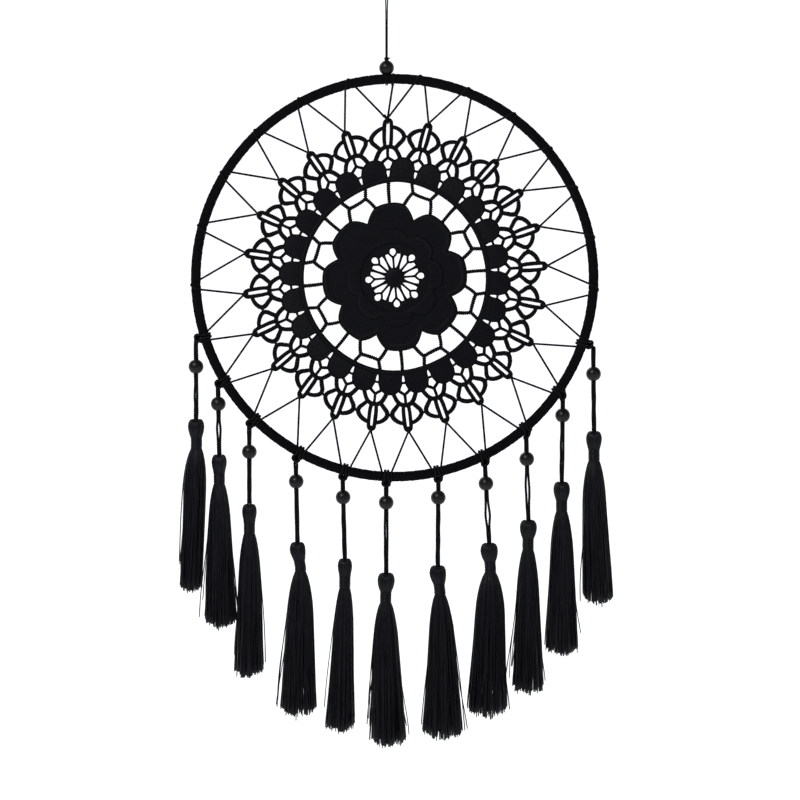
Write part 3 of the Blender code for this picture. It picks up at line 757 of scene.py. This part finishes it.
def add_lace():
    """The whole medallion: tips, shells, ring, net and flower."""
    rng = np.random.default_rng(3)
    corded = Batch()
    satin = Batch()
    for tip in range(TIPS):
        middle = LACE_PHASE + tip * TIP_SPACING
        add_tip(corded, middle)
        add_shell(satin, corded, middle + TIP_SPACING / 2, rng)
    add_ring(satin, corded)
    add_net(corded)
    add_flower(satin, corded)
    finished(corded.build("lace_cords", LACE), "hoop", "lace", "lace_medallion")
    finished(satin.build("lace_satin", SATIN), "hoop", "lace", "lace_medallion")
    add_overlay()


# --- hanging loop -----------------------------------------------------------------------------
HANGER_HALF = (
    (0.44, -67.75), (0.47, -52.0), (0.48, -40.0), (0.56, -30.0), (0.90, -21.0), (1.40, -13.0),
    (1.95, -6.0), (2.20, -2.2), (1.85, -0.45), (1.05, 0.35),
)  # (sideways, height) in mm, of one side of the loop
HANGER_RADIUS = 0.52 * MM
TIE_RADIUS = 0.5 * MM
BEAD_DROP, KNOT_DROP = 1.4 * MM, 1.75 * MM  # how much lower they hang than their CAD nodes


def add_hanger():
    """The loop, and the knot's thread that runs through the bead and round the hoop."""
    up = [(-x * MM, 0.0, z * MM) for x, z in HANGER_HALF]
    down = [(x * MM, 0.0, z * MM) for x, z in reversed(HANGER_HALF)]
    route = smooth_route(up + [(0.0, 0.0, 0.55 * MM)] + down, 0.4 * MM)
    loop = Batch()
    add_cord(loop, route, HANGER_RADIUS, plies=3, pitch=2.4 * MM, depth=0.2)
    piece = finished(loop.build("hanging_loop", THREAD), "loop", "thread", "hanger_cord")
    bead_low, bead_high = (np.array(corner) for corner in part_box("hanger_bead"))
    bead_z = (bead_low[2] + bead_high[2]) / 2 - BEAD_DROP
    knot_z = JOINTS["loop_twist"]["pos_m"][2] - KNOT_DROP
    tube_top = JOINTS["hoop_tilt"]["pos_m"][2]
    knot = Batch()
    add_knot(knot, (0.0, 0.0, knot_z), 1.25 * MM, 0.68 * MM)
    add_knot(knot, (0.1 * MM, 0.0, knot_z - 0.7 * MM), 0.95 * MM, 0.62 * MM, tilt=1.1)
    stub = [(0.9, -0.5, 0.0), (1.6, -0.7, 0.3), (2.3, -0.6, 0.7)]
    stub = [(x * MM, y * MM, knot_z + z * MM) for x, y, z in stub]
    add_cord(knot, smooth_route(stub, 0.3 * MM), TIE_RADIUS)
    tie = TUBE_RADIUS + TIE_RADIUS
    for side in (-1, 1):
        top = [(0.5 * side * MM, 0.0, knot_z + 0.8 * MM), (0.5 * side * MM, 0.0, bead_z)]
        neck = [(0.5 * side * MM, 0.2 * side * MM, tube_top + 5.0 * MM)]
        around = [
            (0.52 * side * MM, tie * math.sin(turn), tube_top + tie * math.cos(turn))
            for turn in [math.radians(22 + 29 * i) for i in range(12)]
        ]
        route = smooth_route(top + neck + around, 0.4 * MM)
        add_cord(knot, route, TIE_RADIUS, plies=3, pitch=2.4 * MM)
    finished(knot.build("hanger_knot_thread", THREAD), "knot", "thread", "hanger_knot")
    bead = Batch()
    add_bead(bead, (0.0, 0.0, bead_z), (0.0, 0.0, 1.0), 1.5 * MM)
    finished(bead.build("top_bead", BEAD), "knot", "bead", "hanger_bead")


# --- beads, strings and hitches ---------------------------------------------------------------
BEAD_RADIUS = 5.5 * MM
STRAND_RADIUS = 1.0 * MM
STRAND_OFFSET = 0.88 * MM  # of each strand from the string's middle
HITCH_RADIUS = 1.05 * MM
TWO_PLY = {"sides": 12, "plies": 2, "pitch": 2.9 * MM, "depth": 0.2}
# For each string: how far its strands stand apart below the bead, in mm, and where along it.
STRINGS = (
    (0.2, 0.8), (0.7, 0.6), (0.0, 0.5), (0.0, 0.5), (0.1, 0.75), (0.3, 0.46), (0.0, 0.5), (1.5, 0.65),
    (1.0, 0.58), (0.2, 0.65), (0.0, 0.5),
)


def add_bead(batch, at, axis, bore):
    """A turned bead with a rounded lip at each end of its bore and faint turning rings."""
    lip = 0.35 * MM
    edge = math.acos((bore + lip) / BEAD_RADIUS)
    profile = []
    for i in range(33):
        turn = edge - 2 * edge * i / 32
        ring = 0.012 * MM * math.sin(turn * 31)
        profile.append(((BEAD_RADIUS + ring) * math.cos(turn), (BEAD_RADIUS + ring) * math.sin(turn)))
    top = profile[0][1]
    lip_in = [(bore + lip * 0.35, 0.06 * MM), (bore, -lip)]
    inside = [(r, h - top) for r, h in reversed([(r, -h) for r, h in lip_in])]
    outside = [(r, h + top) for r, h in lip_in]
    shape = np.array(profile + inside + outside[::-1])
    axis = unit(np.array(axis, float))
    points = circle_about(axis, 48)[:, None] * shape[None, :, :1] + shape[None, :, 1:] * axis
    batch.grid(points + np.array(at), loop_rows=True)


def string_ends(label):
    """Where a string starts at its hitch and ends at its tassel's head, and how it runs."""
    pivot = np.array(JOINTS["string_swing_" + label]["pos_m"])
    head = np.array(JOINTS["tassel_sway_" + label]["pos_m"]) + (0.0, 0.0, BEAD_RADIUS)
    return pivot, head, unit(pivot - head)


def add_string(label, gap, gap_at, rng):
    """A doubled cord from its hitch to its tassel, with its bead."""
    pivot, head, up = string_ends(label)
    across = unit(np.cross((0.0, 1.0, 0.0), up))
    depth = np.cross(up, across)
    top = pivot + up * 1.1 * MM
    foot = head - up * 1.6 * MM
    length = np.linalg.norm(top - foot)
    bead_low, bead_high = (np.array(corner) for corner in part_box("bead_" + label))
    bead_down = np.dot(top - (bead_low + bead_high) / 2, up) / length
    share = np.linspace(0, 1, int(length / (0.3 * MM)))
    below = np.clip((share - bead_down - 0.1) / (0.70 - bead_down), 0, 1)
    bulge = np.sin(math.pi * below ** (math.log(0.5) / math.log(gap_at))) ** 2
    apart = STRAND_OFFSET + gap / 2 * MM * bulge
    angle = 0.5 * np.sin(share * rng.uniform(9, 14) + rng.uniform(0, TAU))
    batch = Batch()
    centre = top + (foot - top) * share[:, None]
    for side in (-1, 1):
        offset = across * np.cos(angle)[:, None] + depth * np.sin(angle)[:, None]
        wander = 0.07 * MM * np.sin(share * 21 + side * 2 + rng.uniform(0, 6))
        route = centre + side * offset * apart[:, None] + across * wander[:, None]
        add_cord(batch, route, STRAND_RADIUS, turn=side, **TWO_PLY)
    arch = [
        top - up * 0.3 * MM + across * STRAND_OFFSET * math.cos(turn) + up * 1.3 * MM * math.sin(turn)
        for turn in np.linspace(0, math.pi, 9)
    ]
    add_cord(batch, smooth_route(arch, 0.25 * MM), STRAND_RADIUS * 0.95, **TWO_PLY)
    piece = finished(batch.build("cord_" + label, CORD), "string_" + label, "cord", "string_" + label)
    bead = Batch()
    add_bead(bead, (bead_low + bead_high) / 2, up, 2.1 * MM)
    finished(bead.build("wood_bead_" + label, BEAD), "bead_" + label, "bead", "bead_" + label)


def add_hitch(label, tie_angle):
    """A lark's head: two turns round the hoop under a loop that hangs below it."""
    pivot, _, _ = string_ends(label)
    middle = polar(HOOP_RADIUS, tie_angle)
    eye = pivot + (0.0, 0.0, 2.9 * MM) - middle
    radial = unit(middle - CENTRE)
    shift = eye - radial * np.linalg.norm(eye)
    close = TUBE_RADIUS + 0.7 * MM
    half = (
        (186, -0.8, 6.2 * MM), (176, -1.0, 4.9 * MM), (158, -1.1, close + 0.1 * MM), (120, -1.1, close),
        (80, -1.1, close), (40, -1.1, close), (0, -1.1, close), (-40, -1.1, close), (-80, -1.15, close),
        (-112, -1.4, close + 0.1 * MM), (-136, -2.1, close + 0.6 * MM), (-150, -2.6, 5.5 * MM),
        (-160, -2.1, 6.8 * MM), (-163, -0.7, 7.3 * MM), (-163, 0.0, 7.3 * MM),
    )  # degrees round the tube, mm along it, and distance from its middle

    def place(turn, along, radius):
        sideways = math.degrees(along * MM / HOOP_RADIUS)
        out = min(1.0, max(0.0, (radius - close) / (2.4 * MM)))
        return round_tube(tie_angle, turn, sideways, radius) + shift * out

    route = [place(*step) for step in half]
    route += [place(turn, -along, radius) for turn, along, radius in reversed(half[:-1])]
    batch = Batch()
    add_cord(batch, smooth_route(route, 0.3 * MM), HITCH_RADIUS, **TWO_PLY)
    for along in (-1.3, 0.1):
        tail = [(166, along, 4.3 * MM), (178, along, 5.6 * MM), (190, along * 0.7, 6.6 * MM)]
        tail_route = smooth_route([place(*step) for step in tail], 0.3 * MM)
        add_cord(batch, tail_route, 0.95 * MM, **TWO_PLY)
    finished(batch.build("larks_head_" + label, CORD), "hoop", "cord", "hitch_" + label)


# --- tassels ----------------------------------------------------------------------------------
TASSEL_LENGTH = 126.0
# For each tassel, in mm: how far its neck, belly and end stand to the right of its head's middle,
# the half widths of its belly and its end, and its head's size against the usual one.
SKIRTS = (
    (0.3, -1.0, -3.3, 8.2, 8.4, 1.0), (0.0, 0.3, 1.4, 7.5, 10.3, 0.92), (0.0, 0.2, -0.2, 7.2, 10.5, 0.88),
    (2.2, 1.9, 0.2, 8.7, 12.8, 0.97), (0.0, -0.9, -2.8, 6.7, 10.3, 0.88), (-0.4, -0.2, 1.6, 8.3, 13.2, 1.05),
    (1.5, 2.8, 3.8, 8.2, 13.8, 1.02), (0.9, 0.8, -1.4, 10.0, 14.8, 1.07), (-0.3, 0.0, 0.1, 7.0, 12.2, 1.05),
    (-0.1, 0.1, 0.2, 7.5, 11.3, 1.01), (0.0, 0.2, 3.0, 8.0, 11.2, 0.97),
)
STRANDS = 230
LOCKS = 11
STRAYS = 0.045  # share of the strands that hang away from the rest
HEAD_SHAPE = (
    (0.35, 0.5), (1.6, -0.3), (2.9, -0.45), (4.4, 0.4), (5.4, 2.4), (5.75, 4.9),
    (5.5, 7.6), (4.8, 10.4), (3.9, 13.2), (3.45, 17.0), (3.55, 20.6),
)  # distance from the axis and depth below the head's top, in mm, over the head to the neck


def add_tassel(label, neck_x, belly_x, end_x, belly, end, head_size, rng):
    """Strands folded over the cord's end, bound at the neck and hanging in loose locks."""
    _, head, _ = string_ends(label)
    count = STRANDS

    def leaning(down):
        depths = (0.0, 6.0, 18.0, 48.0, TASSEL_LENGTH)
        return np.interp(down, depths, (0.0, 0.0, neck_x, belly_x, end_x))

    theta = rng.uniform(0, TAU, count)
    shell = rng.uniform(0.55, 1.0, count) ** 0.7
    lock = (theta / TAU * LOCKS + rng.normal(0, 0.35, count)).astype(int) % LOCKS
    pull = rng.normal(0, 1, (LOCKS, 2)) * 0.9
    length = TASSEL_LENGTH - 0.8 - 4.5 * (shell * np.cos(theta)) ** 2 + rng.normal(0, 1.25, count)
    stray = rng.random(count) < STRAYS
    length = np.where(stray, length - rng.uniform(-1, 18, count), length)
    head_part = np.array(HEAD_SHAPE)
    hang = np.array([0.045, 0.10, 0.16, 0.23, 0.31, 0.40, 0.50, 0.60, 0.70, 0.79, 0.87, 0.94, 1.0])
    neck = head_part[-1]
    head_part[:-3, 0] *= head_size
    radius = np.zeros((count, len(head_part) + len(hang)))
    depth = np.zeros_like(radius)
    inner = 0.80 + 0.20 * shell
    radius[:, : len(head_part)] = head_part[:, 0] * inner[:, None]
    depth[:, : len(head_part)] = head_part[:, 1] + (1 - inner[:, None]) * 2.0
    down = neck[1] + (length[:, None] - neck[1]) * hang
    depth[:, len(head_part) :] = down
    flare = np.minimum(1, (1 - np.exp(-8.5 * hang)) / 0.9)
    spread = np.clip((hang - 0.12) / 0.88, 0, 1) ** 1.1
    wide = neck[0] + (belly - neck[0]) * flare + (end - belly) * spread
    radius[:, len(head_part) :] = wide * (shell[:, None] ** (0.35 + 0.75 * hang))
    fall = np.clip((depth - neck[1]) / (TASSEL_LENGTH - neck[1]), 0, 1)
    wave = rng.uniform(0, TAU, (count, 2, 1))
    sway = (0.35 + 0.9 * stray)[:, None] * fall * np.sin(fall * rng.uniform(4, 9, (count, 1)) + wave[:, 0])
    sway_deep = 0.6 * fall * np.sin(fall * rng.uniform(4, 9, (count, 1)) + wave[:, 1])
    x = radius * np.cos(theta)[:, None] + pull[lock, 0][:, None] * fall**1.6 + sway + leaning(depth)
    y = radius * np.sin(theta)[:, None] * 0.88 + pull[lock, 1][:, None] * fall**1.6 + sway_deep
    away = np.where(stray, rng.uniform(0.5, 6.5, count) * np.sign(np.cos(theta)), 0)
    x += away[:, None] * fall**1.4
    notch = 1.3 * np.exp(-((x / 1.7) ** 2)) * np.clip(1 - depth / 6, 0, 1)
    paths = np.stack([x * MM, y * MM, -(depth + notch) * MM], axis=-1) + head
    along = unit(np.gradient(paths, axis=1))
    side = np.stack([-np.sin(theta), np.cos(theta), np.zeros(count)], axis=-1)[:, None]
    side = unit(side - along * np.sum(side * along, axis=-1, keepdims=True))
    out = np.cross(along, side)
    strands = Batch()
    thick = rng.uniform(0.34, 0.44, count) * MM
    corners = np.arange(5) / 5 * TAU
    for k in range(count):
        turned = corners + rng.uniform(0, TAU)
        taper = np.ones(paths.shape[1])
        taper[-2:] = 1.12, 1.0
        cosine, sine = np.cos(turned)[None, :, None], np.sin(turned)[None, :, None]
        ring = cosine * side[k][:, None] + sine * out[k][:, None]
        strands.grid(paths[k][:, None] + ring * (thick[k] * taper)[:, None, None])
    core = [(0.2, -2.2), (2.8, -2.2), (4.3, -4.0), (4.5, -6.5), (3.5, -11.5), (2.7, -15), (2.8, -21)]
    core += [(5.2, -45), (6.0, -80), (5.0, -106), (1.0, -112)]
    turned = np.arange(20) / 20 * TAU
    core = np.array(core)
    size, height = core[:, :1], np.tile(core[:, 1:], 20)
    inside = np.stack([size * np.cos(turned) + leaning(-height), size * np.sin(turned), height], axis=-1)
    strands.grid(inside * MM + head)
    finished(strands.build("tassel_strands_" + label, SILK), "tassel_" + label, "silk", "tassel_" + label)
    binding = Batch()
    turns = 12
    steps = np.arange(turns * 26) / 26
    wind = steps * TAU
    reach = (3.95 + 0.12 * np.sin(steps * 2.1)) * MM
    down = 13.3 + 7.6 * steps / turns
    sideways = reach * np.cos(wind) + leaning(down) * MM
    coil = np.stack([sideways, reach * np.sin(wind), -down * MM], axis=-1) + head
    add_cord(binding, coil, 0.34 * MM, sides=6)
    for drift in (0.5, 1.1):
        cross = [
            head + ((3.9 * math.cos(a) + leaning(down)) * MM, 3.9 * MM * math.sin(a), -down * MM)
            for down, a in [(13.6 + 7.0 * s / 8, -1.6 + drift + s * 0.05) for s in range(9)]
        ]
        cross_route = smooth_route(np.array(cross) + (0.0, -0.35 * MM, 0.0), 0.6 * MM)
        add_cord(binding, cross_route, 0.3 * MM, sides=6)
    finished(binding.build("tassel_binding_" + label, SILK), "tassel_" + label, "silk")


# --- the whole --------------------------------------------------------------------------------
add_camera()
add_studio()
add_hanger()
add_hoop()
add_web()
add_lace()
for number, label in enumerate(LABELS):
    seeded = np.random.default_rng(40 + number)
    add_hitch(label, HITCH_ANGLES[number])
    add_string(label, *STRINGS[number], seeded)
    add_tassel(label, *SKIRTS[number], seeded)
